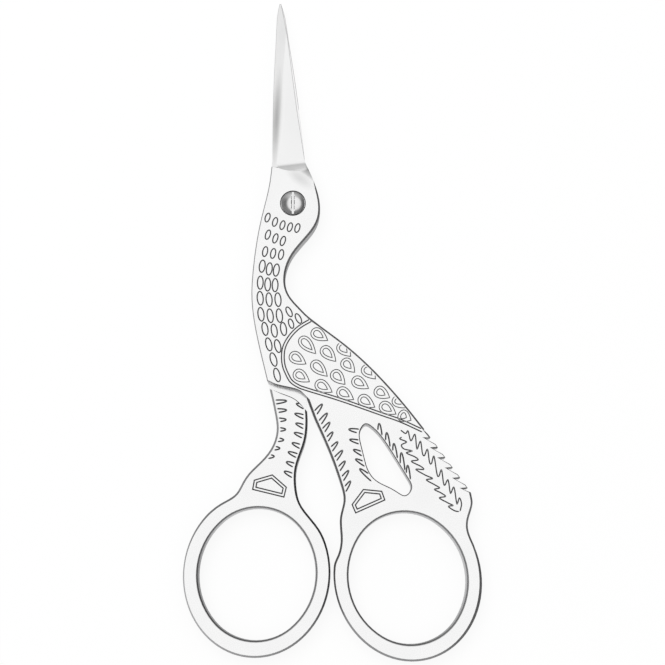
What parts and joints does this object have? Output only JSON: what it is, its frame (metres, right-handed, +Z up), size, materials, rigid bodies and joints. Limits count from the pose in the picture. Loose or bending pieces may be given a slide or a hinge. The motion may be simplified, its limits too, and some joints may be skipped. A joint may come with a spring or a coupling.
{
  "type": "embroidery scissors",
  "caption": "Stork-shaped embroidery scissors: narrow beak blades, lapped halves on a slotted pivot screw, barbed tail, pierced tail slot and oval finger rings under the legs.",
  "frame": {"origin": "on the pivot's axis, at the flat back that the closed scissors lie on", "axes": "+Y along the closed blades towards the tip, +X towards the stork's tail, +Z up out of the carved face"},
  "size_m": [0.0509, 0.1159, 0.0054],
  "materials": {
    "polished_steel": "polished",
    "screw_steel": "polished"
  },
  "bodies": {
    "rear": {"rear_half": "polished_steel", "pivot_screw": "screw_steel"},
    "front": {"front_half": "polished_steel"}
  },
  "joints": [
    {"name": "pivot", "type": "hinge", "parent": "rear", "child": "front", "pos_m": [0, 0, 0], "axis": [0, 0, 1], "range_deg": [0, 75]}
  ]
}
